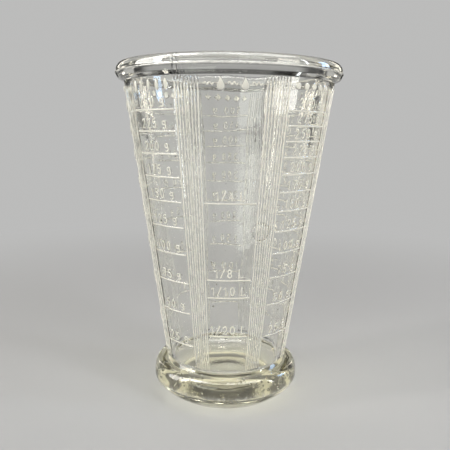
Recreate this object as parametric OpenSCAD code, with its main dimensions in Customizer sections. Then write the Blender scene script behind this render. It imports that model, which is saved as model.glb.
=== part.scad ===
// Pressed glass kitchen measure: a tapered bowl on a heavy round foot, with eight scales between
// reeded bands. The real glass is one piece. Each region of its mould is a separate solid here, and
// they meet face to face.
// The liquid scale faces -Y, the table is the plane z = 0 and the bowl stands on the Z axis.

/* [Bowl] */
// Height from the table to the top of the rim
glass_h = 156.7; // [145:0.1:190]
// Outside diameter of the bowl just under the rim
mouth_d = 95.4; // [90:0.1:102]
// Outside diameter of the bowl's lower end, just above the groove at the neck
neck_d = 57.4; // [54:0.1:60]
// Thickness of the wall, measured level
wall_t = 3.2; // [2.4:0.1:4.2]
// Height of the inner floor above the table
floor_h = 15.4; // [12:0.1:17.3]
// Radius of the round corner between the inner floor and the wall
floor_corner_r = 5; // [2:0.1:8]

/* [Rim] */
// Height of the rim, from where it leaves the bowl to its top
rim_h = 8.1; // [7:0.1:10]
// How far the rim's outer face stands out from the bowl under it
rim_proud = 3.5; // [2.5:0.1:8]
// How far the circle along the rim's top stands out from the bowl under the rim
rim_crest_proud = 0.6; // [-0.2:0.1:1.3]
// Height of the rounding outside the crest
rim_round_h = 3.2; // [2:0.1:3.4]
// Depth of the lip's rounding inside the crest
lip_round_h = 2.6; // [1.5:0.1:4]
// Distance from the top of the rim to the middle of its ridge
ridge_drop = 4.4; // [4.1:0.1:4.6]
// How far the ridge stands out from the rim's face
ridge_proud = 0.5; // [0.2:0.05:0.9]
// Width of the ridge
ridge_w = 1.4; // [0.8:0.1:1.6]
// Height of the slope under the rim
rim_slope_h = 1.3; // [0.6:0.1:1.6]
// How far the slope under the rim stands in from its face
rim_slope_in = 0.8; // [0.3:0.1:1.5]

/* [Foot] */
// How far the foot's widest circle stands out from the bowl's lower end
foot_proud = 6.1; // [4.4:0.1:9]
// Height of the bowl's lower end above the table
neck_h = 20.9; // [20:0.1:24]
// Height of the foot's widest circle
belly_h = 10.2; // [8:0.1:13]
// How far the circle along the foot's top stands out from the bowl's lower end
foot_crest_proud = 0.3; // [-0.3:0.1:2]
// Distance from the bowl's lower end down to the foot's top
foot_crest_drop = 2.9; // [2:0.1:3.6]
// Depth of the groove between the bowl and the foot
groove_depth = 0.9; // [0.5:0.1:1.3]
// Outside diameter of the ring that touches the table
base_d = 41; // [38:0.1:46]
// Width of the ring that touches the table
base_ring_w = 4.5; // [3:0.1:7]
// Depth of the hollow under the foot
hollow_depth = 1.2; // [0.5:0.1:2.5]

/* [Reeding] */
// Ribs in one band
ribs_per_band = 8; // [4:1:9]
// Angle from one rib to the next
rib_step = 1.7; // [1.4:0.05:1.8]
// Angle that one rib takes
rib_angle = 1.05; // [0.6:0.05:1.2]
// How far a rib stands out from the wall
rib_proud = 0.45; // [0.2:0.05:0.8]
// Distance from the ends of the ribs to the rim and to the bowl's lower end
rib_end_gap = 0.5; // [0.3:0.1:3]

/* [Scales] */
// Angle that a graduation line takes
line_angle = 31; // [24:0.5:31]
// Width of a graduation line
line_w = 0.7; // [0.4:0.05:1]
// How far lines and numerals stand out from the wall
relief = 0.5; // [0.3:0.05:0.8]
// Height of a numeral
numeral_h = 4.2; // [3:0.1:4.4]
// Width of a numeral
numeral_w = 2.3; // [1.8:0.1:2.5]
// Distance from one numeral to the next on a dry scale
dry_step = 3.6; // [3.3:0.05:3.7]
// Distance from one numeral to the next on the liquid scale
liquid_step = 3.2; // [2.9:0.05:3.3]
// Width of the strokes of a numeral
stroke_w = 0.6; // [0.4:0.05:0.7]
// Clearance between a line and the numeral above it
numeral_gap = 0.7; // [0.4:0.05:0.9]
// Clearance between a scale's sign and the underside of the rim
sign_gap = 0.8; // [0.5:0.1:2]
// Height of a scale's sign
sign_h = 5.4; // [3:0.1:6]
// Distance from one mark of a sign to the next
sign_step = 4.7; // [4.6:0.1:5]
// Volume up to the top line of a dry scale, in millilitres
dry_fill = 436; // [425:1:437]

/* [Hidden] */
$fn = 96;
glass_color = [0.80, 0.83, 0.77, 0.6];
relief_color = [0.90, 0.91, 0.84, 0.8];
curve_steps = 10;
foot_low_fullness = 1.45;
foot_top_fullness = 3.1;
rim_fullness = 2;

// Lines of the liquid scale, as parts of a litre
liquid_parts = [4, 8, 10, 20];
litre = 1000;

// Each dry scale: full mass in grams, mass between lines, how the mass packs down as a power,
// and the scale's sign
semolina = [300, 25, 0.90, "dots"];
sugar = [375, 25, 1.00, "cubes"];
rice = [350, 25, 0.95, "grains"];
salt = [500, 50, 1.00, "crystals"];
coffee = [175, 25, 1.00, "beans"];
cocoa = [200, 25, 1.05, "pods"];
flour = [250, 25, 1.10, "ears"];

// A scale and a reeded band to each step round the wall
panel_step = 360 / 8;
under_rim_h = glass_h - rim_h;
slope = (mouth_d - neck_d) / 2 / (under_rim_h - neck_h);
wall_lean = atan(slope);
function r_out(h) = neck_d / 2 + slope * (h - neck_h);
function r_in(h) = r_out(h) - wall_t;

// Height at which the bowl holds a volume in millilitres, from the volume of a cone cut at the floor
floor_r = r_in(floor_h);
function height_of(ml) =
  floor_h + (pow(3 * slope * ml * 1000 / PI + pow(floor_r, 3), 1 / 3) - floor_r) / slope;

// A quarter of a rounded curve from the side of its centre to its top, fuller than an ellipse above 2
function quarter(centre, half_w, half_h, fullness) = [
  for (i = [0:curve_steps])
    let (t = 90 * i / curve_steps)
    centre + [half_w * pow(cos(t), 2 / fullness), half_h * pow(sin(t), 2 / fullness)]
];
// A quarter circle from the right of its centre down to its lowest point
function quarter_below(centre, r) = [
  for (i = [0:curve_steps])
    let (t = 90 * i / curve_steps)
    centre + r * [cos(t), -sin(t)]
];
function reversed(points) = [for (i = [len(points) - 1:-1:0]) points[i]];

// The foot's ring, from the groove under the bowl round to the ring that touches the table
groove_r = neck_d / 2 - groove_depth;
foot_crest_h = neck_h - foot_crest_drop;
base_inner_r = base_d / 2 - base_ring_w;
module foot() {
  base_r = base_d / 2;
  crest_r = neck_d / 2 + foot_crest_proud;
  foot_r = neck_d / 2 + foot_proud;
  color(glass_color)
    rotate_extrude()
      polygon(concat(
        [[base_inner_r, 0]],
        reversed(quarter([base_r, belly_h], foot_r - base_r, -belly_h, foot_low_fullness)),
        quarter([crest_r, belly_h], foot_r - crest_r, foot_crest_h - belly_h, foot_top_fullness),
        [[groove_r, foot_crest_h - groove_depth / 2], [groove_r, floor_h], [floor_flat_r, floor_h]]
      ));
}

// The solid middle of the floor, with the shallow hollow below it
module bowl_floor() {
  color(glass_color)
    rotate_extrude()
      polygon(concat(
        [for (i = [0:curve_steps]) let (x = i / curve_steps) [base_inner_r * x, hollow_depth * (1 - x * x)]],
        [[floor_flat_r, floor_h], [0, floor_h]]
      ));
}

// The tapered wall, with the groove under it and the round corner of the inner floor
corner_h = floor_h + floor_corner_r;
floor_flat_r = r_in(corner_h) - floor_corner_r;
module bowl_wall() {
  color(glass_color)
    rotate_extrude()
      polygon(concat(
        [[groove_r, floor_h], [groove_r, neck_h - groove_depth], [r_out(neck_h), neck_h]],
        [[r_out(under_rim_h), under_rim_h], [r_in(under_rim_h), under_rim_h]],
        quarter_below([floor_flat_r, corner_h], floor_corner_r)
      ));
}

// The thick rim: rounded lip, upper face, ridge, lower face and the slope under it
ridge_h = glass_h - ridge_drop;
face_low_h = under_rim_h + rim_slope_h;
lip_h = glass_h - lip_round_h;
rim_crest_r = mouth_d / 2 + rim_crest_proud;
module rim() {
  face_r = mouth_d / 2 + rim_proud;
  color(glass_color)
    rotate_extrude()
      polygon(concat(
        [[r_in(under_rim_h), under_rim_h], [r_out(under_rim_h), under_rim_h]],
        [[face_r - rim_slope_in, face_low_h], [face_r, ridge_h - ridge_w / 2]],
        [[face_r + ridge_proud, ridge_h], [face_r, ridge_h + ridge_w / 2]],
        quarter([rim_crest_r, glass_h - rim_round_h], face_r - rim_crest_r, rim_round_h, rim_fullness),
        reversed(quarter([rim_crest_r, lip_h], r_in(lip_h) - rim_crest_r, lip_round_h, rim_fullness))
      ));
}

// Sweeps a profile through an angle about the axis, with its middle at an azimuth counted from -Y
module arc_of(azimuth, angle) {
  rotate([0, 0, azimuth - 90 - angle / 2]) rotate_extrude(angle = angle) children();
}

// One band of ribs that run down the wall between two scales
rib_low_h = neck_h + rib_end_gap;
rib_top_h = under_rim_h - rib_end_gap;
module reeded_band(azimuth) {
  color(relief_color)
    for (i = [0:ribs_per_band - 1])
      arc_of(azimuth + (i - (ribs_per_band - 1) / 2) * rib_step, rib_angle)
        polygon([
          [r_out(rib_low_h), rib_low_h], [r_out(rib_low_h) + rib_proud, rib_low_h + rib_proud],
          [r_out(rib_top_h) + rib_proud, rib_top_h - rib_proud], [r_out(rib_top_h), rib_top_h]
        ]);
}

// A graduation line, seated on the wall
module graduation(azimuth, h) {
  low = h - line_w / 2;
  high = h + line_w / 2;
  bevel = line_w / 5;
  arc_of(azimuth, line_angle)
    polygon([
      [r_out(low), low], [r_out(low) + relief, low + bevel],
      [r_out(high) + relief, high - bevel], [r_out(high), high]
    ]);
}

// Outline of a line of straight strokes with a constant width
function unit(v) = v / norm(v);
function left_of(v) = [-v[1], v[0]];
function side_at(p, i, side) =
  let (
    before = unit(p[i] - p[max(i - 1, 0)] + (i == 0 ? p[1] - p[0] : [0, 0])),
    after = unit(p[min(i + 1, len(p) - 1)] - p[i] + (i == len(p) - 1 ? p[i] - p[i - 1] : [0, 0])),
    bisector = unit(left_of(before) + left_of(after))
  )
  p[i] + bisector * side * stroke_w / 2 / (bisector * left_of(before));
module stroke(p) {
  polygon(concat(
    [for (i = [0:len(p) - 1]) side_at(p, i, 1)],
    [for (i = [len(p) - 1:-1:0]) side_at(p, i, -1)]
  ));
}

// A closed loop with cut corners, from its lowest corner and its size
module loop(low, size) {
  module cut_box(inset) {
    a = low + [inset, inset];
    b = low + size - [inset, inset];
    cut = size[0] / 3 - inset * 0.6;
    polygon([
      [a[0] + cut, a[1]], [b[0] - cut, a[1]], [b[0], a[1] + cut], [b[0], b[1] - cut],
      [b[0] - cut, b[1]], [a[0] + cut, b[1]], [a[0], b[1] - cut], [a[0], a[1] + cut]
    ]);
  }
  difference() {
    cut_box(-stroke_w / 2);
    cut_box(stroke_w / 2);
  }
}

// A plain numeral with its left foot at the origin, between the middles of its outer strokes
module numeral(digit) {
  w = numeral_w - stroke_w;
  h = numeral_h - stroke_w;
  function at(points) = [for (q = points) [q[0] * w, q[1] * h]];
  if (digit == "0") loop([0, 0], [w, h]);
  if (digit == "1") stroke(at([[0.15, 0.78], [0.6, 1], [0.6, 0]]));
  if (digit == "2") stroke(at([[0, 0.8], [0.25, 1], [0.75, 1], [1, 0.8], [1, 0.6], [0, 0], [1, 0]]));
  if (digit == "3")
    stroke(at([[0, 0.88], [0.25, 1], [0.75, 1], [1, 0.86], [1, 0.66], [0.6, 0.53],
      [1, 0.4], [1, 0.14], [0.75, 0], [0.25, 0], [0, 0.12]]));
  if (digit == "4") {
    stroke(at([[0.7, 1], [0, 0.32], [1.1, 0.32]]));
    stroke(at([[0.7, 0.62], [0.7, 0]]));
  }
  if (digit == "5")
    stroke(at([[0.95, 1], [0.1, 1], [0.04, 0.58], [0.7, 0.62],
      [1, 0.46], [1, 0.16], [0.75, 0], [0.25, 0], [0, 0.12]]));
  if (digit == "6") {
    loop([0, 0], [w, h * 0.58]);
    stroke(at([[0.8, 1], [0, 0.62], [0, 0.3]]));
  }
  if (digit == "7") stroke(at([[0, 1], [1, 1], [0.4, 0]]));
  if (digit == "8") {
    loop([0, 0], [w, h * 0.53]);
    loop([0.1 * w, h * 0.53], [0.8 * w, h * 0.47]);
  }
  if (digit == "9") translate([w, h]) rotate([0, 0, 180]) numeral("6");
  if (digit == "/") stroke(at([[0, 0], [0.9, 1]]));
  if (digit == "L") stroke(at([[0, 1], [0, 0], [0.95, 0]]));
  if (digit == "g") {
    loop([0, h * 0.34], [w, h * 0.42]);
    stroke(at([[1, 0.6], [1, 0.16], [0.75, 0], [0.25, 0], [0.05, 0.1]]));
  }
}

// Angle about the axis that a distance along the wall takes at a height
function angle_along(distance, h) = distance / r_out(h) * 180 / PI;

// Seats a flat shape on the wall, at an azimuth and a height, with its own middle at x = 0
module seated(azimuth, h) {
  rotate([0, 0, azimuth])
    translate([0, -r_out(h), h])
      rotate([90 + wall_lean, 0, 0])
        linear_extrude(relief) children();
}

// Share of a step that a character takes along its row
function share(c) = c == " " ? 0.5 : c == "1" || c == "/" ? 0.8 : 1;
function place(c, i) = i == 0 ? share(c[0]) / 2 : place(c, i - 1) + (share(c[i - 1]) + share(c[i])) / 2;

// A row of numerals above a graduation line, each seated by itself so that it follows the wall
module label(azimuth, line_h, characters, step) {
  foot_of_label = line_h + line_w / 2 + numeral_gap + stroke_w / 2;
  last = len(characters) - 1;
  middle = (place(characters, last) + share(characters[last]) / 2) / 2;
  for (i = [0:last])
    seated(azimuth + angle_along((place(characters, i) - middle) * step, foot_of_label), foot_of_label)
      translate([-(numeral_w - stroke_w) / 2, 0]) numeral(characters[i]);
}

// One part of a scale's sign, with its middle at the origin
module sign_part(kind) {
  s = sign_h / 2;
  if (kind == "drop") {
    translate([0, -s * 0.38]) circle(s * 0.62);
    polygon(s * [[-0.6, -0.23], [0.6, -0.23], [0, 1]]);
  }
  if (kind == "waves") stroke(s * [[-0.68, -0.2], [-0.34, 0.2], [0, -0.2], [0.34, 0.2], [0.68, -0.2]]);
  if (kind == "dots") circle(s * 0.55);
  if (kind == "cubes") square(s * 1.2, center = true);
  if (kind == "crystals") rotate([0, 0, 45]) square(s * 1.05, center = true);
  if (kind == "grains") rotate([0, 0, 25]) polygon(s * [[-0.3, 0], [0, -1], [0.3, 0], [0, 1]]);
  if (kind == "ears") polygon(s * [[0, -0.9], [0.45, -0.2], [0, 0.9], [-0.45, -0.2]]);
  if (kind == "pods")
    polygon(s * [[-0.74, 0], [-0.3, -0.5], [0.4, -0.45], [0.74, 0], [0.4, 0.45], [-0.3, 0.5]]);
  if (kind == "beans")
    difference() {
      circle(s * 0.7);
      square([stroke_w / 2, s * 2], center = true);
    }
}

// A generic sign at the head of a scale: a row of five equal marks, or of drops and waves in turn
module sign(azimuth, kind) {
  h = under_rim_h - sign_gap - sign_h / 2;
  for (i = [-2:2])
    seated(azimuth + angle_along(i * sign_step, h), h)
      sign_part(kind == "drop" && i % 2 == 0 ? "waves" : kind);
}

module liquid_scale(azimuth) {
  color(relief_color) {
    for (part = liquid_parts) {
      graduation(azimuth, height_of(litre / part));
      label(azimuth, height_of(litre / part), str("1/", part, " L"), liquid_step);
    }
    sign(azimuth, "drop");
  }
}

module dry_scale(azimuth, scale) {
  full = scale[0];
  step = scale[1];
  packing = scale[2];
  color(relief_color) {
    for (mass = [step:step:full]) {
      line_h = height_of(dry_fill * pow(mass / full, packing));
      graduation(azimuth, line_h);
      label(azimuth, line_h, str(mass, " g"), dry_step);
    }
    sign(azimuth, scale[3]);
  }
}

foot();
bowl_floor();
bowl_wall();
rim();
reeded_band(panel_step * 0.5);  // reeded_band_1
reeded_band(panel_step * 1.5);  // reeded_band_2
reeded_band(panel_step * 2.5);  // reeded_band_3
reeded_band(panel_step * 3.5);  // reeded_band_4
reeded_band(panel_step * 4.5);  // reeded_band_5
reeded_band(panel_step * 5.5);  // reeded_band_6
reeded_band(panel_step * 6.5);  // reeded_band_7
reeded_band(panel_step * 7.5);  // reeded_band_8
liquid_scale(0);  // scale_liquid
dry_scale(panel_step, semolina);  // scale_semolina
dry_scale(panel_step * 2, sugar);  // scale_sugar
dry_scale(panel_step * 3, rice);  // scale_rice
dry_scale(panel_step * 4, salt);  // scale_salt
dry_scale(panel_step * 5, coffee);  // scale_coffee
dry_scale(panel_step * 6, cocoa);  // scale_cocoa
dry_scale(panel_step * 7, flour);  // scale_flour
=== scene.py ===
# Looks of a pressed glass kitchen measure: one seamless glass skin with reeded bands and raised scales.
# Sizes are in millimetres and degrees, and become metres where a mesh, a light or the camera is made.
# An azimuth is counted from -Y, where the liquid scale is, towards +X.
import math
import random

import bmesh
import bpy
import numpy as np
from mathutils import Matrix, Vector
from mathutils.geometry import delaunay_2d_cdt


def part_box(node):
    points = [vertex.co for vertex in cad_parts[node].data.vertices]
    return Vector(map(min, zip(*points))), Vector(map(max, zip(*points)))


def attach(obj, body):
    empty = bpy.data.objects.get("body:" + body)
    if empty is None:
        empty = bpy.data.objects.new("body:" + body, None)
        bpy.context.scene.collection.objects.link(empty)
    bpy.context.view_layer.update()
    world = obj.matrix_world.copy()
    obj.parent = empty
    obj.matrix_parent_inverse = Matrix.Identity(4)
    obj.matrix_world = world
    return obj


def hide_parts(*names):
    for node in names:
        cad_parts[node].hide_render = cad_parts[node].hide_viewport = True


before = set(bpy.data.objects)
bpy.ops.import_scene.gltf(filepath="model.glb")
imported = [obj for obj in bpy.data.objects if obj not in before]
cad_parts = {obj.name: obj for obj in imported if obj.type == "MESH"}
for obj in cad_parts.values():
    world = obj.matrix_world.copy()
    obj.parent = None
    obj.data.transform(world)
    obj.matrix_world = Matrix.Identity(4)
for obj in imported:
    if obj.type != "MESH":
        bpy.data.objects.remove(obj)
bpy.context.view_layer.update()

MM = 0.001
rng = random.Random(7)


# Sizes that the frame gives
def low_corner(node):
    return np.array(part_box(node)[0]) / MM


def high_corner(node):
    return np.array(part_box(node)[1]) / MM


glass_h = high_corner("rim")[2]
under_rim_h = low_corner("rim")[2]
mouth_r = high_corner("bowl_wall")[0]
floor_h = low_corner("bowl_wall")[2]
foot_r = high_corner("foot")[0]
foot_crest_h = high_corner("foot")[2]

# Sizes of the bowl
neck_h = 20.9
neck_r = 28.7
wall_t = 3.2
floor_corner_r = 5
corner_h = floor_h + floor_corner_r
floor_dish = 0.35
slope = (mouth_r - neck_r) / (under_rim_h - neck_h)
bead_r = 0.9
relief_low_h = neck_h + bead_r * 0.8
relief_top_h = under_rim_h - 0.3

# Sizes of the rim
face_r = 51.2
ridge_h = glass_h - 4.4
ridge_proud = 0.5
ridge_w = 1.4
rim_slope_h = 1.3
rim_slope_in = 0.8
rim_crest_r = 48.3
rim_round_h = 3.2
lip_round_h = 2.6
lip_h = glass_h - lip_round_h

# Sizes of the foot. Its core is a point deep in the glass, away from which its surface faces.
belly_h = 10.2
base_r = 20.5
base_ring_w = 4.5
hollow_depth = 1.2
foot_crest_r = 29.0
foot_low_fullness = 1.45
foot_top_fullness = 3.1
foot_core_r = 22
foot_core_h = 9
groove_r = 27.4
groove_h = foot_crest_h + 1.5

# Reeded bands. The outer ribs of a band stand out more, and all ribs less at their top ends.
panels = 8
panel_step = 360 / panels
ribs_per_band = 8
rib_step = 1.7
rib_h = 0.45
outer_rib_share = 1.35
top_end_share = 0.8
band_half = ribs_per_band * rib_step / 2
panel_half = panel_step / 2 - band_half
band_rows = 30
panel_columns = 24

# Marks of the mould: bands at whose middles its halves met, a seam on the foot, and marks across the rim
seam_bands = [3, 7]
foot_seam_h = 0.09
foot_seam_half = 0.45
rim_mark_azimuths = [-27, 153]
rim_mark_h = 0.2
rim_mark_half = 0.3
rim_mark_fork = 0.2

# Waves in the surfaces of the glass
inner_wave_h = 0.05
foot_wave_h = 0.05
foot_streak_h = 0.007

# How worn the tops of the ribs are, and the panels and bands at the back, which are less worn
rib_wear = 0.7
rear_panels = [3, 4, 5]
rear_bands = [2, 3, 4, 5]
rear_wear = 0.6

# Bubbles of air. A swarm in the foot has two azimuths that it lies between, and a count.
foot_swarms = [(-72, -18, 34), (18, 74, 40), (-180, 180, 46)]
wall_bubbles = 26
flat_bubble_azimuth = 20.5
flat_bubble_h = 86
flat_bubble_size = 3.9
flat_bubble_share = 0.15
flat_bubble_depth = 1.5

# Scales. Strokes are wider here than in the solids, and run along the same middle lines.
solid_line_w = 0.7
solid_stroke_w = 0.6
line_w = 0.9
stroke_w = 0.8
line_angle = 31
relief = 0.55
numeral_h = 4.2 - solid_stroke_w
numeral_w = 2.3 - solid_stroke_w
numeral_gap = 0.7
label_rise = solid_line_w / 2 + numeral_gap + solid_stroke_w / 2
dry_step = 3.6
liquid_step = 3.2
sign_gap = 0.8
sign_h = 5.4
sign_step = 4.7
shape_edge = 0.55
litre = 1000
liquid_parts = [4, 8, 10, 20]

# Millilitres that each dry scale's full mass fills, and the scales by their panels: full mass and step
# in grams, how the goods pack down, and the sign
dry_fill = 436
dry_scales = {
    1: (300, 25, 0.90, "dots"),
    2: (375, 25, 1.00, "cubes"),
    3: (350, 25, 0.95, "grains"),
    4: (500, 50, 1.00, "crystals"),
    5: (175, 25, 1.00, "beans"),
    6: (200, 25, 1.05, "pods"),
    7: (250, 25, 1.10, "ears"),
}


def r_out(h):
    """Radius of the wall's outside at a height."""
    return neck_r + slope * (h - neck_h)


def r_in(h):
    """Radius of the wall's inside at a height."""
    return r_out(h) - wall_t


def height_of(ml):
    """Height at which the bowl holds a volume, from the volume of a cone cut at the floor."""
    floor_r = r_in(floor_h)
    return floor_h + ((3 * slope * ml * 1000 / math.pi + floor_r**3) ** (1 / 3) - floor_r) / slope


# Outlines in the plane of a radius and a height
def quarter(centre, half_w, half_h, fullness, steps):
    """A quarter of a rounded curve from the side of its centre to its top."""
    turns = np.radians(np.linspace(0, 90, steps + 1))
    side = half_w * np.abs(np.cos(turns)) ** (2 / fullness)
    rise = half_h * np.abs(np.sin(turns)) ** (2 / fullness)
    return np.stack([centre[0] + side, centre[1] + rise], -1)


def rounded(points, radii, steps=4):
    """A line of straight stretches with an arc of its own radius at each inner corner."""
    out = [np.array(points[0], float)]
    for before, corner, after, radius in zip(points, points[1:], points[2:], radii):
        before, corner, after = (np.array(p, float) for p in (before, corner, after))
        to_before = (before - corner) / np.linalg.norm(before - corner)
        to_after = (after - corner) / np.linalg.norm(after - corner)
        half = math.acos(max(-1, min(1, to_before @ to_after))) / 2
        reach = radius / math.tan(half)
        middle = to_before + to_after
        centre = corner + middle / np.linalg.norm(middle) * radius / math.sin(half)
        start = corner + to_before * reach - centre
        end = corner + to_after * reach - centre
        swing = math.atan2(start[0] * end[1] - start[1] * end[0], start @ end)
        for k in range(steps + 1):
            cosine, sine = math.cos(swing * k / steps), math.sin(swing * k / steps)
            turned = [cosine * start[0] - sine * start[1], sine * start[0] + cosine * start[1]]
            out.append(centre + np.array(turned))
    out.append(np.array(points[-1], float))
    return np.array(out)


class Skin:
    """The closed surface of the glass: points, faces, exact normals of some points, and their wear."""

    def __init__(self):
        self.points = []
        self.faces = []
        self.exact = {}
        self.worn = {}

    def wear(self, numbers, amounts):
        """Says how worn points are, from 0 for fire-polished to 1 for the tops that touch things."""
        amounts = np.broadcast_to(np.asarray(amounts, float), len(numbers))
        self.worn.update(zip(numbers, amounts.tolist()))

    def lie_on_wall(self, numbers, azimuths, climbs):
        """Gives points the normals of the tapered wall, tilted where a rib climbs."""
        for number, azimuth, climb in zip(numbers, azimuths, climbs):
            self.exact[number] = (math.radians(azimuth), climb, slope)

    def add(self, azimuths, radii, heights):
        """Adds points at azimuths in degrees, and gives their numbers."""
        turns = np.radians(np.asarray(azimuths, float))
        radii = np.broadcast_to(np.asarray(radii, float), turns.shape)
        heights = np.broadcast_to(np.asarray(heights, float), turns.shape)
        first = len(self.points)
        new = np.stack([radii * np.sin(turns), -radii * np.cos(turns), heights], -1)
        self.points.extend(new.tolist())
        return list(range(first, first + len(new)))

    def bridge(self, ring, following):
        """Faces between two rings with as many points, where the second comes later along the outline."""
        for i in range(len(ring)):
            j = (i + 1) % len(ring)
            self.faces.append((ring[i], ring[j], following[j], following[i]))

    def zipper(self, ring, azimuths, following, following_azimuths):
        """Triangles between two rings whose points lie at different azimuths."""
        count, following_count = len(ring), len(following)
        i = j = 0
        while i < count or j < following_count:
            next_i = azimuths[(i + 1) % count] + 360 * ((i + 1) // count)
            next_j = following_azimuths[(j + 1) % following_count] + 360 * ((j + 1) // following_count)
            here, there = ring[i % count], following[j % following_count]
            if j >= following_count or (i < count and next_i <= next_j):
                i += 1
                self.faces.append((here, ring[i % count], there))
            else:
                j += 1
                self.faces.append((here, following[j % following_count], there))

    def fan_from(self, point, ring):
        """Triangles from a point to the ring that follows it."""
        for i in range(len(ring)):
            self.faces.append((point, ring[(i + 1) % len(ring)], ring[i]))

    def fan_to(self, ring, point):
        """Triangles from a ring to the point that ends the outline."""
        for i in range(len(ring)):
            self.faces.append((ring[i], ring[(i + 1) % len(ring)], point))


# Azimuths of the columns of points
def even_columns(count):
    """Columns all round, from the left edge of the first panel."""
    return list(np.arange(count) * 360 / count - panel_half)


def with_fine_windows(azimuths, windows, half=2.2, count=14, closest=0.05):
    """Columns with more of them in a window round each azimuth that carries a fine mark."""
    out = list(azimuths)
    for middle in windows:
        out += list(np.linspace(middle - half, middle + half, count))
    start = azimuths[0]
    out = sorted((a - start) % 360 + start for a in out)
    kept = [out[0]]
    for a in out[1:]:
        if a - kept[-1] > closest:
            kept.append(a)
    return kept


# A rib's section: places as shares of a step, heights, and how steeply it climbs there
rib_section = [
    (-0.5, 0, 0), (-0.33, 0, 0), (-0.18, 0.75, 1.1),
    (0, 1, 0), (0.18, 0.75, -1.1), (0.33, 0, 0),
]


def band_columns():
    """Offsets from a band's middle, how high the wall stands out there, and how steeply it climbs."""
    offsets, heights, climbs = [], [], []
    for k in range(ribs_per_band):
        outermost = k in (0, ribs_per_band - 1)
        for offset, height, climb in rib_section:
            offsets.append((k + 0.5 + offset) * rib_step - band_half)
            heights.append(height * rib_h * (outer_rib_share if outermost else 1.0))
            climbs.append(float(climb))
    return offsets + [band_half], heights + [0.0], climbs + [0.0]


band_offsets, band_heights, band_climbs = band_columns()
sector = list(np.linspace(-panel_half, panel_half, panel_columns + 1)[:-1])
sector += [panel_step / 2 + offset for offset in band_offsets[:-1]]
per_sector = len(sector)
fine_azimuths = [p * panel_step + a for p in range(panels) for a in sector]
fine_ribs = np.array(([0.0] * panel_columns + band_heights[:-1]) * panels)
fine_climbs = ([0.0] * panel_columns + band_climbs[:-1]) * panels

skin = Skin()


# Waviness of pressed glass, as a few smooth waves round and up the wall
def waves(count, longest, shortest, up_longest, up_shortest):
    """Waves of random lengths, in degrees round the glass and in millimetres up it."""
    out = []
    for _ in range(count):
        around = rng.randint(round(360 / longest), round(360 / shortest))
        up = 2 * math.pi / rng.uniform(up_shortest, up_longest)
        out.append((around, up * rng.choice([-1, 1]), rng.uniform(0, 2 * math.pi)))
    return out


def wave_height(azimuths, heights, parts, size):
    """How far a wavy surface stands out at some points, for waves of one size."""
    turns = np.radians(np.asarray(azimuths, float))
    total = sum(np.sin(around * turns + up * np.asarray(heights) + start) for around, up, start in parts)
    return size * total / math.sqrt(len(parts) / 2)


inner_waves = waves(7, 90, 24, 120, 30)
foot_waves = waves(12, 80, 20, 26, 10)
foot_streaks = waves(16, 45, 14, 3.2, 1.3)


def foot_outline():
    """Radii and heights from the hollow below over the ring of contact and the foot to the groove."""
    ring_in = base_r - base_ring_w
    hollow = [(ring_in * x, hollow_depth * (1 - x * x)) for x in (0.25, 0.5, 0.75, 0.93)]
    ring = rounded([hollow[-1], (ring_in, 0), (base_r, 0), (base_r + 0.6, 0.35)], [0.8, 0.4], 3)
    low = quarter((base_r, belly_h), foot_r - base_r, -belly_h, foot_low_fullness, 22)[::-1]
    crest_w, crest_rise = foot_r - foot_crest_r, foot_crest_h - belly_h
    top = quarter((foot_crest_r, belly_h), crest_w, crest_rise, foot_top_fullness, 20)
    neck = rounded(
        [top[-1], (foot_crest_r - 0.4, foot_crest_h), (groove_r, groove_h),
         (r_out(relief_low_h) - 0.35, neck_h - 0.15)],
        [0.3, 0.4],
    )
    return np.concatenate([hollow[:-1], ring[:-1], low[2:], top[1:], neck[1:-1]])


def underside_and_foot():
    """The surface from the middle of the hollow below up to the groove under the bowl."""
    azimuths = with_fine_windows(even_columns(240), [0, 180])
    seam = np.exp(-((np.asarray(azimuths) / foot_seam_half) ** 2))
    centre = skin.add([0], 0, hollow_depth)[0]
    previous = None
    for radius, height in foot_outline():
        share = min(1, max(0, (height - 2) / 5)) * min(1, max(0, (foot_crest_h - 0.5 - height) / 3))
        if radius < base_r:
            share = 0
        away = wave_height(azimuths, height, foot_waves, foot_wave_h) * share
        away = away + wave_height(azimuths, height, foot_streaks, foot_streak_h) * share
        current = skin.add(azimuths, radius + away + foot_seam_h * share * seam, height)
        skin.wear(current, max(0, 0.95 - height * 0.9, 0.42 - abs(height - belly_h) * 0.12))
        if previous is None:
            skin.fan_from(centre, current)
        else:
            skin.bridge(previous, current)
        previous = current
    return previous, azimuths


def bead(ring, azimuths):
    """The rounded lower end of the bowl, over which the ribs fade out."""
    bottom = r_out(relief_low_h)
    turns = np.radians([-75, -50, -25, 0])
    previous = None
    for turn in turns:
        radius = bottom - bead_r + bead_r * math.cos(turn)
        height = relief_low_h + bead_r * math.sin(turn)
        current = skin.add(fine_azimuths, radius + fine_ribs * math.cos(turn) ** 0.5, height)
        if previous is None:
            skin.zipper(ring, azimuths, current, fine_azimuths)
        else:
            skin.bridge(previous, current)
        previous = current
    return previous


# Strokes of the numerals, as shares of a numeral's width and height
def arc(x, y, half_w, half_h, start, end):
    """Points along a part of an ellipse, from one angle to another."""
    count = max(4, round(abs(end - start) / 30))
    turns = np.radians(np.linspace(start, end, count + 1))
    return [(x + half_w * math.cos(t), y + half_h * math.sin(t)) for t in turns]


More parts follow.
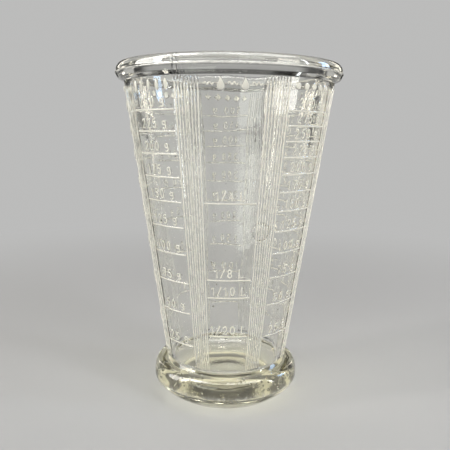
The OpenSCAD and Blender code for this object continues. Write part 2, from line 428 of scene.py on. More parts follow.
six = [arc(0.5, 0.3, 0.5, 0.3, 0, 360), arc(1.0, 0.3, 1.0, 0.7, 180, 100)]
glyphs = {
    "0": [arc(0.5, 0.5, 0.5, 0.5, 90, 450)],
    "1": [[(0.15, 0.78), (0.6, 1), (0.6, 0)]],
    "2": [arc(0.5, 0.71, 0.48, 0.29, 165, -30) + [(0, 0), (1, 0)]],
    "3": [arc(0.46, 0.77, 0.45, 0.23, 150, -90) + arc(0.46, 0.27, 0.52, 0.27, 90, -150)],
    "4": [[(0.72, 0), (0.72, 1), (0, 0.3), (1.1, 0.3)]],
    "5": [[(0.95, 1), (0.15, 1), (0.08, 0.55)] + arc(0.46, 0.32, 0.52, 0.32, 120, -150)],
    "6": six,
    "7": [[(0, 1), (1, 1), (0.4, 0)]],
    "8": [arc(0.5, 0.76, 0.41, 0.24, 90, 450), arc(0.5, 0.26, 0.5, 0.26, 90, 450)],
    "9": [[(1 - x, 1 - y) for x, y in part] for part in six],
    "/": [[(0, -0.02), (0.9, 1.02)]],
    "L": [[(0, 1), (0, 0), (0.95, 0)]],
    "g": [
        arc(0.48, 0.55, 0.45, 0.21, 0, 360),
        [(0.95, 0.76), (0.95, 0.14)] + arc(0.5, 0.14, 0.45, 0.2, 0, -140),
    ],
}


def without_repeats(points):
    """A line without points that fall on the one before."""
    kept = [points[0]]
    for point in points[1:]:
        if math.dist(point, kept[-1]) > 1e-3:
            kept.append(point)
    return kept


def character_share(c):
    """Share of a step that a character takes along its row."""
    return 0.5 if c == " " else 0.8 if c in "1/" else 1


class Relief:
    """What stands out from one panel: strokes and filled shapes, as points of azimuth and height."""

    def __init__(self, wear):
        self.strokes = []
        self.shapes = []
        self.wear = wear

    def place(self, x, y, azimuth, height):
        """A point x along the wall and y up it from a place on the wall."""
        return azimuth + math.degrees(x / r_out(height)), height + y

    def line(self, height):
        """A line of the scale, whose round ends count in its angle."""
        half = line_angle / 2 - math.degrees(line_w / 2 / r_out(height))
        middle = [(a, height) for a in np.linspace(-half, half, 17)]
        self.strokes.append((middle, line_w))

    def label(self, line_h, characters, step):
        """The characters over a line, about the middle of the panel."""
        foot = line_h + label_rise
        total = sum(character_share(c) for c in characters)
        along = -total / 2
        for c in characters:
            middle = (along + character_share(c) / 2) * step
            along += character_share(c)
            for part in glyphs.get(c, []):
                points = [
                    self.place(middle + (x - 0.5) * numeral_w, y * numeral_h, 0, foot)
                    for x, y in without_repeats(part)
                ]
                self.strokes.append((points, stroke_w))

    def sign(self, kind):
        """A row of five marks under the rim. Drops take turns with waves."""
        height = under_rim_h - sign_gap - sign_h / 2
        for i in range(-2, 3):
            azimuth = math.degrees(i * sign_step / r_out(height))
            points, filled = sign_part("waves" if kind == "drop" and i % 2 == 0 else kind)
            placed = [self.place(x * sign_h / 2, y * sign_h / 2, azimuth, height) for x, y in points]
            if filled:
                self.shapes.append(placed)
            else:
                self.strokes.append((placed, stroke_w))


def sign_part(kind):
    """Outline of one mark of a scale's sign, in halves of its height, and whether it is filled."""
    if kind == "waves":
        return [(0.68 * x, 0.2 * math.sin(x * 2 * math.pi)) for x in np.linspace(-1, 1, 15)], False
    if kind == "drop":
        return arc(0, -0.38, 0.62, 0.62, -200, 20) + [(0, 1)], True
    if kind == "dots":
        return arc(0, 0, 0.55, 0.55, 0, 330), True
    if kind == "cubes":
        return [(-0.6, -0.6), (0.6, -0.6), (0.6, 0.6), (-0.6, 0.6)], True
    if kind == "crystals":
        return [(0, -0.74), (0.74, 0), (0, 0.74), (-0.74, 0)], True
    if kind == "grains":
        cosine, sine = math.cos(math.radians(25)), math.sin(math.radians(25))
        grain = arc(0, 0, 0.32, 0.95, 0, 330)
        return [(x * cosine - y * sine, x * sine + y * cosine) for x, y in grain], True
    if kind == "ears":
        return arc(0, 0, 0.4, 0.9, 0, 330), True
    if kind == "pods":
        return arc(0, 0, 0.74, 0.48, 0, 330), True
    return arc(0, 0, 0.7, 0.7, 0, 330), True


def offset_line(points, away):
    """A line beside another, with its corners mitred, on the left for a positive distance."""
    points = np.array(points)
    steps = np.diff(points, axis=0)
    steps /= np.linalg.norm(steps, axis=1)[:, None]
    left = np.stack([-steps[:, 1], steps[:, 0]], -1)
    before = np.concatenate([left[:1], left])
    after = np.concatenate([left, left[-1:]])
    middle = before + after
    length = np.maximum((middle * middle).sum(1), 0.8)
    return points + middle * (2 * away / length)[:, None]


def distance_to_lines(points, starts, ends, stretch=1.0):
    """Distance from each point to the nearest of many short lines, and the way from that line to it."""
    scale = np.stack([np.broadcast_to(stretch, len(points)), np.ones(len(points))], -1)[:, None]
    along = (ends - starts) * scale
    from_start = (points[:, None] - starts) * scale
    length2 = np.maximum((along * along).sum(2), 1e-12)
    share = np.clip((from_start * along).sum(2) / length2, 0, 1)
    apart = from_start - share[..., None] * along
    d = np.linalg.norm(apart, axis=2)
    nearest = d.argmin(1)
    rows = np.arange(len(points))
    away = apart[rows, nearest]
    d = d[rows, nearest]
    return d, away / np.maximum(d, 1e-9)[:, None], nearest


def inside_shape(points, outline):
    """Which points lie inside a closed outline, by counting crossings."""
    inside = np.zeros(len(points), bool)
    for a, b in zip(outline, np.roll(outline, -1, axis=0)):
        crosses = (a[1] > points[:, 1]) != (b[1] > points[:, 1])
        rise = np.where(b[1] == a[1], 1e-9, b[1] - a[1])
        x = a[0] + (points[:, 1] - a[1]) * (b[0] - a[0]) / rise
        inside ^= crosses & (points[:, 0] < x)
    return inside


# Radius at which a panel is laid flat, and how its mesh follows the relief
flat_r = 38.0
outline_shares = (1.0, 0.55)
clear_of_strokes = 0.9
clear_of_shapes = 0.5
stroke_foot_share = 0.985
points_at_once = 500


def to_flat(points):
    """Azimuth and height as millimetres on a flat sheet."""
    points = np.array(points, float)
    return np.stack([np.radians(points[:, 0]) * flat_r, points[:, 1]], -1)


def stretch_at(points):
    """How many times wider and higher the wall is at some points than the flat sheet."""
    return np.array([r_out(np.mean([height for _, height in points])) / flat_r, 1])


class Sheet:
    """The points and edges of one panel laid flat, from which its triangles are made."""

    def __init__(self):
        self.points = []
        self.edges = []

    def put_points(self, points):
        """Adds points, and gives the first one's number."""
        first = len(self.points)
        self.points.extend(np.asarray(points, float).tolist())
        return first

    def put_line(self, points):
        """Adds points with edges from each to the next."""
        first = self.put_points(points)
        self.edges.extend((first + i, first + i + 1) for i in range(len(points) - 1))

    def put_loop(self, points):
        """Adds a line and the edge that closes it."""
        last = len(self.points) + len(points) - 1
        self.put_line(points)
        self.edges.append((last, last - len(points) + 1))

    def put_stroke(self, middle, width, stretch):
        """Adds the outlines and the middle line of a stroke that is given at the wall's own width."""
        closed = np.linalg.norm(middle[0] - middle[-1]) < 1e-6
        for share in outline_shares:
            away = share * width / 2
            if closed:
                turned = np.concatenate([middle[-2:-1], middle, middle[1:2]])
                for side in (away, -away):
                    self.put_loop(offset_line(turned, side)[1:-2] / stretch)
                continue
            left, right = offset_line(middle, away), offset_line(middle, -away)
            end = cap(middle[-1], middle[-2], away, share == 1)
            start = cap(middle[0], middle[1], away, share == 1)
            self.put_loop(np.concatenate([left, end, right[::-1], start]) / stretch)
        self.put_line(middle / stretch)

    def put_shape(self, outline, stretch):
        """Adds the outline of a filled shape, and two more inside its rounded edge."""
        centre = outline.mean(0)
        size = np.linalg.norm(outline - centre, axis=1).mean()
        self.put_loop(outline / stretch)
        for inset in (shape_edge / 2, shape_edge):
            self.put_loop((centre + (outline - centre) * (1 - inset / size)) / stretch)


def cap(tip, before, away, is_round):
    """Points round the tip of a stroke, from its left side to its right."""
    ahead = (tip - before) / np.linalg.norm(tip - before) * away
    if not is_round:
        return [tip + ahead]
    half = math.sqrt(0.5)
    left = np.array([-ahead[1], ahead[0]])
    return [tip + (ahead + left) * half, tip + ahead, tip + (ahead - left) * half]


def points_between(columns, rows, starts, ends, shapes):
    """An even grid of points over a panel, without those on or near its relief."""
    grid_a, grid_h = np.meshgrid(columns[2:-1:2], rows[1:-1])
    grid = to_flat(np.stack([grid_a.ravel(), grid_h.ravel()], -1))
    clear = distance_to_lines(grid, starts, ends)[0] > clear_of_strokes
    for outline in shapes:
        clear &= ~inside_shape(grid, outline)
        clear &= distance_to_lines(grid, outline, np.roll(outline, -1, axis=0))[0] > clear_of_shapes
    return grid[clear]


def panel(azimuth, left_edge, right_edge, bottom_row, top_row, content):
    """One panel between two bands: a triangulated sheet that carries its relief."""
    rows = np.linspace(relief_low_h, relief_top_h, band_rows + 1)
    columns = np.linspace(-panel_half, panel_half, panel_columns + 1)
    border = [(a, relief_low_h) for a in columns[:-1]] + [(panel_half, h) for h in rows[:-1]]
    border += [(a, relief_top_h) for a in columns[:0:-1]] + [(-panel_half, h) for h in rows[:0:-1]]
    border_numbers = bottom_row[:-1] + right_edge[:-1] + top_row[:0:-1] + left_edge[:0:-1]
    sheet = Sheet()
    sheet.put_loop(to_flat(border))

    starts, ends, widths, shapes = [], [], [], []
    for points, width in content.strokes:
        stretch = stretch_at(points)
        middle = to_flat(points) * stretch
        starts.extend(middle[:-1] / stretch)
        ends.extend(middle[1:] / stretch)
        widths.extend([width] * (len(middle) - 1))
        sheet.put_stroke(middle, width, stretch)
    for outline in content.shapes:
        stretch = stretch_at(outline)
        outline = to_flat(outline) * stretch
        sheet.put_shape(outline, stretch)
        shapes.append(outline / stretch)
    starts, ends, widths = np.array(starts), np.array(ends), np.array(widths)
    sheet.put_points(points_between(columns, rows, starts, ends, shapes))

    flat_points, _, triangles, origins, _, _ = delaunay_2d_cdt(
        [Vector(p) for p in sheet.points], sheet.edges, [], 0, 1e-3
    )
    flat_points = np.array([tuple(p) for p in flat_points])
    heights, tilts = relief_at(flat_points, starts, ends, widths, shapes)
    numbers = []
    for point, height, tilt, origin in zip(flat_points, heights, tilts, origins):
        on_border = [border_numbers[o] for o in origin if o < len(border_numbers)]
        if on_border:
            numbers.append(on_border[0])
            continue
        turn = point[0] / flat_r
        number = skin.add([azimuth + math.degrees(turn)], r_out(point[1]) + height, point[1])[0]
        numbers.append(number)
        skin.wear([number], content.wear * height / relief)
        skin.exact[number] = (math.radians(azimuth) + turn, tilt[0], tilt[1] + slope)
    for triangle in triangles:
        corners = [numbers[i] for i in triangle]
        if len(set(corners)) == len(corners):
            skin.faces.append(tuple(corners))


def relief_at(points, starts, ends, widths, shapes):
    """How far points stand out, and how steeply that changes round and up the wall."""
    height = np.zeros(len(points))
    tilt = np.zeros((len(points), 2))
    stretch = r_out(points[:, 1]) / flat_r
    for first in range(0, len(points), points_at_once):
        part = slice(first, first + points_at_once)
        d, away, nearest = distance_to_lines(points[part], starts, ends, stretch[part])
        half_w = widths[nearest] / 2
        share = d / half_w
        raised = share < stroke_foot_share
        height[part] = np.where(raised, relief * (1 - share**2), 0)
        steep = np.where(raised & (share > 0.05), -2 * relief * share / half_w, 0)
        tilt[part] = away * steep[:, None]
    for outline in shapes:
        inside = inside_shape(points, outline)
        scale = stretch_at(outline)
        corners = outline * scale
        d, away, _ = distance_to_lines(points * scale, corners, np.roll(corners, -1, axis=0))
        share = np.clip(d / shape_edge, 0, 1)
        on = inside & (d > 0.01)
        height = np.where(on, np.maximum(height, relief * (1 - (1 - share) ** 2)), height)
        steep = np.where(on & (share < 0.98), 2 * relief * (1 - share) / shape_edge, 0)
        tilt = np.where(on[:, None], away * steep[:, None], tilt)
    return height, tilt


def contents():
    """What each of the eight panels carries."""
    out = []
    for p in range(panels):
        marks = Relief(rear_wear if p in rear_panels else 1.0)
        if p == 0:
            for part in liquid_parts:
                line_h = height_of(litre / part)
                marks.line(line_h)
                marks.label(line_h, f"1/{part} L", liquid_step)
            marks.sign("drop")
        else:
            full, step, packing, kind = dry_scales[p]
            for mass in range(step, full + 1, step):
                line_h = height_of(dry_fill * (mass / full) ** packing)
                marks.line(line_h)
                marks.label(line_h, f"{mass} g", dry_step)
            marks.sign(kind)
        out.append(marks)
    return out


def part_of_ring(ring, first, count):
    """Some neighbours in a ring, which may reach past its last point."""
    return [ring[(first + i) % len(ring)] for i in range(count)]


def band(p, rows, bottom_ring, top_ring):
    """The band of ribs that follows one panel, as rows of points. Two bands have a blurred seam."""
    count = len(band_offsets)
    start = p * per_sector + panel_columns
    azimuths = [panel_step * (p + 0.5) + offset for offset in band_offsets]
    wear = rib_wear * (rear_wear if p in rear_bands else 1)
    grid = [part_of_ring(bottom_ring, start, count)]
    for height in rows[1:-1]:
        out = np.array(band_heights)
        climbs = list(band_climbs)
        if p in seam_bands:
            seam = count // 2
            out[seam] += rng.uniform(0.35, 0.75)
            climbs[seam - 1] = rng.uniform(0.4, 1.8)
            climbs[seam] = rng.uniform(-0.6, 0.6)
            climbs[seam + 1] = rng.uniform(-1.8, -0.4)
        grid.append(skin.add(azimuths, r_out(height) + out, height))
        skin.wear(grid[-1], wear * out / rib_h)
        skin.lie_on_wall(grid[-1], azimuths, climbs)
    grid.append(part_of_ring(top_ring, start, count))
    for low, high in zip(grid, grid[1:]):
        for i in range(count - 1):
            skin.faces.append((low[i], low[i + 1], high[i + 1], high[i]))
    return grid


def wall(bottom_ring):
    """The outer wall: eight bands of ribs in straight columns, and the panels between them."""
    rows = np.linspace(relief_low_h, relief_top_h, band_rows + 1)
    top_ring = skin.add(fine_azimuths, r_out(relief_top_h) + fine_ribs * top_end_share, relief_top_h)
    skin.lie_on_wall(top_ring, fine_azimuths, fine_climbs)
    skin.lie_on_wall(bottom_ring, fine_azimuths, fine_climbs)
    bands = [band(p, rows, bottom_ring, top_ring) for p in range(panels)]
    for p, content in enumerate(contents()):
        left_edge = [row[-1] for row in bands[p - 1]]
        right_edge = [row[0] for row in bands[p]]
        bottom_row = part_of_ring(bottom_ring, p * per_sector, panel_columns + 1)
        top_row = part_of_ring(top_ring, p * per_sector, panel_columns + 1)
        panel(p * panel_step, left_edge, right_edge, bottom_row, top_row, content)
    return top_ring


def rim_mark(azimuths, height):
    """A raised mark that the mould left across the rim, which splits in two below the ridge."""
    out = np.zeros(len(azimuths))
    for middle in rim_mark_azimuths:
        sway = 0.22 * math.sin(height * 1.9)
        apart = (np.asarray(azimuths) - middle - sway + 180) % 360 - 180
        spread = max(0, ridge_h - height) * rim_mark_fork
        for side in (-1, 1):
            out += rim_mark_h * np.exp(-(((apart - side * spread) / rim_mark_half) ** 2))
    return out


def rim_outline():
    """Radii and heights from the top of the wall over the rim to the start of the inside."""
    under = rounded(
        [(r_out(relief_top_h), relief_top_h), (mouth_r + 0.1, under_rim_h),
         (face_r - rim_slope_in, under_rim_h + rim_slope_h),
         (face_r, ridge_h - ridge_w / 2), (face_r + ridge_proud, ridge_h), (face_r, ridge_h + ridge_w / 2),
         (face_r, glass_h - rim_round_h)],
        [0.5, 0.7, 0.4, 0.35, 0.4], 3,
    )
    over = quarter((rim_crest_r, glass_h - rim_round_h), face_r - rim_crest_r, rim_round_h, 2, 9)
    lip = quarter((rim_crest_r, lip_h), r_in(lip_h) - rim_crest_r, lip_round_h, 2, 9)[::-1]
    return np.concatenate([under[1:], over[1:], lip[1:]])


def inside_outline():
    """Radii and heights down the inner wall, round its corner and over the inner floor."""
    inner = [(r_in(h), h) for h in np.linspace(lip_h, corner_h, 30)[1:]]
    floor_flat_r = r_in(corner_h) - floor_corner_r
    turns = np.radians(np.linspace(0, 90, 9))
    corner = np.stack(
        [floor_flat_r + floor_corner_r * np.cos(turns), corner_h - floor_corner_r * np.sin(turns)], -1
    )
    floor = [(floor_flat_r * x, floor_h + floor_dish * (x * x - 1)) for x in (0.93, 0.8, 0.6, 0.4, 0.2)]
    return np.concatenate([inner, corner[1:], floor])


def rim_and_inside(top_ring):
    """The rim with its ridge, the lip, the wavy inner wall, its round corner and the inner floor."""
    azimuths = with_fine_windows(even_columns(216), rim_mark_azimuths)
    previous = None
    for radius, height in rim_outline():
        current = skin.add(azimuths, radius + rim_mark(azimuths, height), height)
        skin.wear(current, max(0, 0.55 - abs(height - ridge_h) * 0.5, 0.3 - (glass_h - height) * 0.3))
        if previous is None:
            skin.zipper(top_ring, fine_azimuths, current, azimuths)
        else:
            skin.bridge(previous, current)
        previous = current
    for radius, height in inside_outline():
        share = min(1, max(0, (glass_h - 6 - height) / 8))
        if height < corner_h:
            share *= max(0, (height - floor_h) / floor_corner_r)
        away = wave_height(azimuths, height, inner_waves, inner_wave_h) * share
        current = skin.add(azimuths, radius + away, height)
        skin.bridge(previous, current)
        previous = current
    centre = skin.add([0], 0, floor_h - floor_dish)[0]
    skin.fan_to(previous, centre)


def foot_surface(share):
    """A point of the foot's section, from the belly at 0 to the crest at 1, and the way into the glass."""
    turn = math.radians(90 * share)
    radius = foot_crest_r + (foot_r - foot_crest_r) * math.cos(turn) ** (2 / foot_top_fullness)
    height = belly_h + (foot_crest_h - belly_h) * math.sin(turn) ** (2 / foot_top_fullness)
    inward = np.array([foot_core_r - radius, foot_core_h - height])
    return np.array([radius, height]), inward / np.linalg.norm(inward)


def ball(subdivisions):
    """Points and faces of a round ball."""
    shape = bmesh.new()
    bmesh.ops.create_icosphere(shape, subdivisions=subdivisions, radius=1)
    points = np.array([tuple(v.co) for v in shape.verts])
    faces = [tuple(v.index for v in face.verts) for face in shape.faces]
    shape.free()
    return points, faces


small_ball, fine_ball = ball(2), ball(4)


def bubble(azimuth, radius, height, size, thickness=1.0, shape=small_ball):
    """One bubble of air, as a closed surface that faces inwards. Its thickness is a share of its size."""
    turn = math.radians(azimuth)
    outward = np.array([math.sin(turn), -math.cos(turn), 0])
    sideways = np.array([math.cos(turn), math.sin(turn), 0])
    middle = outward * radius + np.array([0, 0, height])
    along, through, up = rng.uniform(0.8, 1.25), rng.uniform(0.8, 1.25), rng.uniform(0.8, 1.1)
    stretch = np.array([along, through * thickness, up]) * size
    points, faces = shape
    first = len(skin.points)
    axes = np.array([sideways, -outward, [0, 0, 1]])
    skin.points.extend((middle + (points * stretch) @ axes).tolist())
    skin.faces.extend(tuple(first + i for i in face[::-1]) for face in faces)


def bubbles():
    """Air left in the glass: swarms in the foot, a few bubbles in the wall, and a flat one in a band."""
    for low, high, count in foot_swarms:
        for _ in range(count):
            place, inward = foot_surface(rng.uniform(0.05, 0.85))
            size = rng.uniform(0.3, 0.85)
            radius, height = place + inward * rng.uniform(size + 0.25, 2.4)
            bubble(rng.uniform(low, high), radius, height, size)
    for _ in range(wall_bubbles):
        height = rng.uniform(30, 140)
        azimuth = rng.randrange(panels) * panel_step + rng.uniform(-0.8, 0.8) * panel_half
        bubble(azimuth, r_out(height) - wall_t / 2, height, rng.uniform(0.15, 0.42))
    flat_bubble_r = r_out(flat_bubble_h) - flat_bubble_depth
    bubble(
        flat_bubble_azimuth, flat_bubble_r, flat_bubble_h,
        flat_bubble_size, flat_bubble_share, fine_ball,
    )


def set_normals(mesh):
    """Gives the wall and its relief the exact normals of their curves. The rest keep the mesh's own."""
    normals = np.zeros(len(mesh.vertices) * 3)
    mesh.vertex_normals.foreach_get("vector", normals)
    normals = normals.reshape(-1, 3)
    for number, (turn, around, up) in skin.exact.items():
        outward = np.array([math.sin(turn), -math.cos(turn), 0])
        sideways = np.array([math.cos(turn), math.sin(turn), 0])
        exact = outward - around * sideways - up * np.array([0, 0, 1])
        normals[number] = exact / np.linalg.norm(exact)
    mesh.normals_split_custom_set_from_vertices(normals.tolist())


def make_glass():
    """The whole skin as one closed object."""
    groove, groove_azimuths = underside_and_foot()
    bottom_ring = bead(groove, groove_azimuths)
    top_ring = wall(bottom_ring)
    rim_and_inside(top_ring)
    bubbles()
    mesh = bpy.data.meshes.new("pressed_glass")
    mesh.from_pydata((np.array(skin.points) * MM).tolist(), [], skin.faces)
    mesh.validate()
    mesh.polygons.foreach_set("use_smooth", [True] * len(mesh.polygons))
    set_normals(mesh)
    worn = mesh.attributes.new("worn", "FLOAT", "POINT")
    worn.data.foreach_set("value", [skin.worn.get(i, 0.0) for i in range(len(mesh.vertices))])
    piece = bpy.data.objects.new("pressed_glass", mesh)
    bpy.context.collection.objects.link(piece)
    return piece


# Colours of the materials, and how pale the floor and the background are
pale = 0.5
polished_glass = (0.99, 0.99, 0.98, 1)
worn_glass = (0.99, 0.96, 0.86, 1)
glass_tint = (0.84, 0.81, 0.62, 1)
glass_shadow = (0.72, 0.72, 0.69, 1)
floor_color = (pale * 0.99, pale * 0.99, pale, 1)
background_color = (pale, pale, pale * 0.99, 1)


# Materials
def empty_tree(owner):
    """The emptied node tree of a material or of the world."""
    owner.use_nodes = True
    owner.node_tree.nodes.clear()
    return owner.node_tree


def add_node(tree, kind, values=None, **settings):
    """A new node with its settings and with the values of its sockets, by their names or numbers."""
    node = tree.nodes.new("ShaderNode" + kind)
    for name, value in settings.items():
        setattr(node, name, value)
    for socket, value in (values or {}).items():
        node.inputs[socket].default_value = value
    return node


def frost_on_glass(tree, place):
    """How frosted the glass is, from 0 to 1: its worn high points, broken up by scuffs that run upwards."""
    link = tree.links.new
    worn = add_node(tree, "Attribute", attribute_name="worn")
    upwards = add_node(tree, "Mapping", {"Scale": (1, 1, 0.3)})
    scuffs = add_node(tree, "TexNoise", {"Scale": 900, "Detail": 4})
    uneven = add_node(tree, "Math", {1: 0.6}, operation="MULTIPLY_ADD")
    frost = add_node(tree, "MapRange", {"From Min": 0.5, "From Max": 1.0}, interpolation_type="SMOOTHSTEP")
    link(place, upwards.inputs["Vector"])
    link(upwards.outputs["Vector"], scuffs.inputs["Vector"])
    link(scuffs.outputs["Fac"], uneven.inputs[0])
    link(worn.outputs["Fac"], uneven.inputs[2])
    link(uneven.outputs["Value"], frost.inputs["Value"])
    return frost.outputs["Result"]


def glass_material():
    """Clear pressed glass: a straw-green tint that shows where it is thick, and a fire-polished skin."""
    material = bpy.data.materials.new("clear_pressed_glass")
    tree = empty_tree(material)
    link = tree.links.new
    out = add_node(tree, "OutputMaterial")
    glass = add_node(tree, "BsdfPrincipled", {"IOR": 1.5, "Transmission Weight": 1.0})
    place = add_node(tree, "TexCoord").outputs["Object"]

    peel = add_node(tree, "TexNoise", {"Scale": 190, "Detail": 3})
    bump = add_node(tree, "Bump", {"Strength": 0.08, "Distance": 0.0003})
    link(place, peel.inputs["Vector"])
    link(peel.outputs["Fac"], bump.inputs["Height"])
    link(bump.outputs["Normal"], glass.inputs["Normal"])

    haze = add_node(tree, "TexNoise", {"Scale": 45, "Detail": 5})
    smears = add_node(tree, "MapRange", {"From Min": 0.45, "From Max": 0.8, "To Min": 0.0, "To Max": 0.06})
    frost = frost_on_glass(tree, place)
    roughness = add_node(tree, "Math", {1: 0.3}, operation="MULTIPLY_ADD")
    link(place, haze.inputs["Vector"])
    link(haze.outputs["Fac"], smears.inputs["Value"])
    link(frost, roughness.inputs[0])
    link(smears.outputs["Result"], roughness.inputs[2])
    link(roughness.outputs["Value"], glass.inputs["Roughness"])

    patina = add_node(tree, "ValToRGB")
    patina.color_ramp.elements[0].color = polished_glass
    patina.color_ramp.elements[1].color = worn_glass
    clearness = add_node(tree, "Math", {1: -0.55, 2: 1.0}, operation="MULTIPLY_ADD")
    link(frost, patina.inputs["Fac"])
    link(patina.outputs["Color"], glass.inputs["Base Color"])
    link(frost, clearness.inputs[0])
    link(clearness.outputs["Value"], glass.inputs["Transmission Weight"])

    shadow = add_node(tree, "BsdfTransparent", {"Color": glass_shadow})
    path = add_node(tree, "LightPath")
    mix = add_node(tree, "MixShader")
    tint = add_node(tree, "VolumeAbsorption", {"Color": glass_tint, "Density": 19})
    link(path.outputs["Is Shadow Ray"], mix.inputs["Fac"])
    link(glass.outputs["BSDF"], mix.inputs[1])
    link(shadow.outputs["BSDF"], mix.inputs[2])
    link(mix.outputs["Shader"], out.inputs["Surface"])
    link(tint.outputs["Volume"], out.inputs["Volume"])
    return material


def floor_material():
    """A plain pale floor that turns into the colour of the background far from the glass."""
    material = bpy.data.materials.new("pale_floor")
    tree = empty_tree(material)
    link = tree.links.new
    out = add_node(tree, "OutputMaterial")
    near = add_node(tree, "BsdfPrincipled", {"Base Color": floor_color, "Roughness": 1.0})
    near.inputs["Specular IOR Level"].default_value = 0.0
    far = add_node(tree, "Emission", {"Color": background_color})
    place = add_node(tree, "TexCoord")
    length = add_node(tree, "VectorMath", operation="LENGTH")
    fade = add_node(tree, "MapRange", {"From Min": 0.15, "From Max": 0.5}, interpolation_type="SMOOTHSTEP")
    mix = add_node(tree, "MixShader")
    link(place.outputs["Object"], length.inputs[0])
    link(length.outputs["Value"], fade.inputs["Value"])
    link(fade.outputs["Result"], mix.inputs["Fac"])
    link(near.outputs["BSDF"], mix.inputs[1])
    link(far.outputs["Emission"], mix.inputs[2])
    link(mix.outputs["Shader"], out.inputs["Surface"])
    return material


def make_floor():
    """A wide round floor, which is a stage and no part of the object."""
    bpy.ops.mesh.primitive_circle_add(vertices=64, radius=3, fill_type="NGON", location=(0, 0, 0))
    floor = bpy.context.object
    floor.name = "floor"
    floor.data.materials.append(floor_material())


def make_world():
    """Soft even light, and a pale background with darker side walls and ceiling for glass to bend."""
    world = bpy.data.worlds.new("studio")
    bpy.context.scene.world = world
    tree = empty_tree(world)
    link = tree.links.new

    def math_node(operation, *values):
        node = add_node(tree, "Math", operation=operation)
        for socket, value in zip(node.inputs, values):
            if isinstance(value, (int, float)):
                socket.default_value = value
            else:
                link(value, socket)
        return node.outputs["Value"]

    def ramp(value, start, end, low, high):
        limits = {"From Min": start, "From Max": end, "To Min": low, "To Max": high}
        node = add_node(tree, "MapRange", limits, interpolation_type="SMOOTHSTEP")
        link(value, node.inputs["Value"])
        return node.outputs["Result"]

    place = add_node(tree, "TexCoord")
    parts = add_node(tree, "SeparateXYZ")
    link(place.outputs["Generated"], parts.inputs["Vector"])
    around = math_node("ARCTAN2", parts.outputs["X"], parts.outputs["Y"])
    stripes = math_node("COSINE", math_node("MULTIPLY", around, 8))
    side = ramp(stripes, -0.9, -0.25, 0.04, 1.0)
    ceiling = ramp(parts.outputs["Z"], 0.15, 0.5, 0.95, 0.22)
    seen = math_node("MULTIPLY", math_node("MULTIPLY", side, ceiling), pale)

    out = add_node(tree, "OutputWorld")
    path = add_node(tree, "LightPath")
    glassy = math_node("MAXIMUM", path.outputs["Is Glossy Ray"], path.outputs["Is Transmission Ray"])
    light = add_node(tree, "Background", {"Color": (1, 0.99, 0.97, 1), "Strength": 0.5})
    plain = add_node(tree, "Background", {"Color": background_color})
    bent = add_node(tree, "Background", {"Color": (1, 1, 0.99, 1)})
    first = add_node(tree, "MixShader")
    second = add_node(tree, "MixShader")
    link(seen, bent.inputs["Strength"])
    link(path.outputs["Is Camera Ray"], first.inputs["Fac"])
    link(light.outputs["Background"], first.inputs[1])
    link(plain.outputs["Background"], first.inputs[2])
    link(glassy, second.inputs["Fac"])
    link(first.outputs["Shader"], second.inputs[1])
    link(bent.outputs["Background"], second.inputs[2])
    link(second.outputs["Shader"], out.inputs["Surface"])


def softbox(name, azimuth, distance, height, size, watts, color=(1, 1, 1), lights=True, shines=True):
    """A rectangular lamp that faces the middle of the glass, and may only light it or only shine in it."""
    lamp = bpy.data.lights.new(name, "AREA")
    lamp.shape = "RECTANGLE"
    lamp.size, lamp.size_y = size
    lamp.energy = watts
    lamp.color = color
    holder = bpy.data.objects.new(name, lamp)
    turn = math.radians(azimuth)
    holder.location = (distance * math.sin(turn), -distance * math.cos(turn), height)
    aim = Vector((0, 0, glass_h / 2 * MM)) - holder.location
    holder.rotation_euler = aim.to_track_quat("-Z", "Y").to_euler()
    holder.visible_camera = False
    holder.visible_diffuse = lights
    holder.visible_glossy = shines
    holder.visible_transmission = lights and shines
    bpy.context.collection.objects.link(holder)


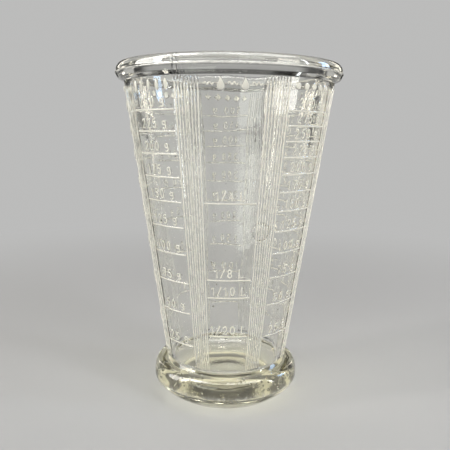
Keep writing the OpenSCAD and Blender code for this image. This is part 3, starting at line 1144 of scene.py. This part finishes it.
def make_lights():
    """Windows and fills that light the glass, and cards that only shine in it."""
    softbox("left_window", -72, 0.8, 0.42, (0.09, 0.4), 2.4, (1, 0.96, 0.89))
    softbox("right_window", 76, 0.85, 0.4, (0.06, 0.4), 1.6, (0.9, 0.95, 1))
    softbox("left_card", -90, 0.9, 0.42, (0.45, 0.7), 9.6, (1, 0.98, 0.94), lights=False)
    softbox("left_high_card", -86, 0.6, 0.95, (0.4, 0.6), 8.5, (1, 0.98, 0.95), lights=False)
    softbox("right_card", 104, 0.9, 0.4, (0.2, 0.35), 2.5, (0.5, 0.7, 1), lights=False)
    softbox("right_fill", 48, 0.8, 0.4, (0.15, 0.4), 2.2, (1, 0.99, 0.97), shines=False)
    softbox("front_window", -32, 1.0, 0.36, (0.6, 0.42), 2.1, (0.96, 1, 0.94))
    softbox("left_edge", -142, 0.9, 0.35, (0.1, 0.5), 0.45, (1, 0.93, 0.8))
    softbox("right_edge", 140, 0.9, 0.35, (0.1, 0.5), 0.45, (1, 0.92, 0.76))
    softbox("top_light", 20, 0.3, 1.1, (0.2, 0.15), 1.0)
    softbox("top_card", 0, 0.15, 1.2, (1.8, 0.8), 27, lights=False)


# Camera of the photograph: its place about the glass, how it is turned, and its lens in pixels
camera_azimuth = -1.9
camera_distance = 265.2
camera_h = 127.1
camera_pitch = 9.5
camera_roll = 0.71
camera_heading = 0.22
focal_px = 560
photo_px = 450


def make_camera():
    """The camera, which looks at the axis of the glass but for its heading."""
    azimuth = math.radians(camera_azimuth)
    distance = camera_distance * MM
    camera = bpy.data.cameras.new("camera")
    camera.sensor_width = 36
    camera.lens = focal_px / photo_px * camera.sensor_width
    camera.clip_start = 0.01
    holder = bpy.data.objects.new("camera", camera)
    place = Vector((distance * math.sin(azimuth), -distance * math.cos(azimuth), camera_h * MM))
    holder.matrix_world = (
        Matrix.Translation(place)
        @ Matrix.Rotation(azimuth + math.radians(camera_heading), 4, "Z")
        @ Matrix.Rotation(math.pi / 2 - math.radians(camera_pitch), 4, "X")
        @ Matrix.Rotation(math.radians(camera_roll), 4, "Z")
    )
    bpy.context.collection.objects.link(holder)
    bpy.context.scene.camera = holder


glass = make_glass()
glass.data.materials.append(glass_material())
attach(glass, "root")
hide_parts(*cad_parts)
make_floor()
make_world()
make_lights()
make_camera()
bpy.context.scene.view_settings.view_transform = "Standard"
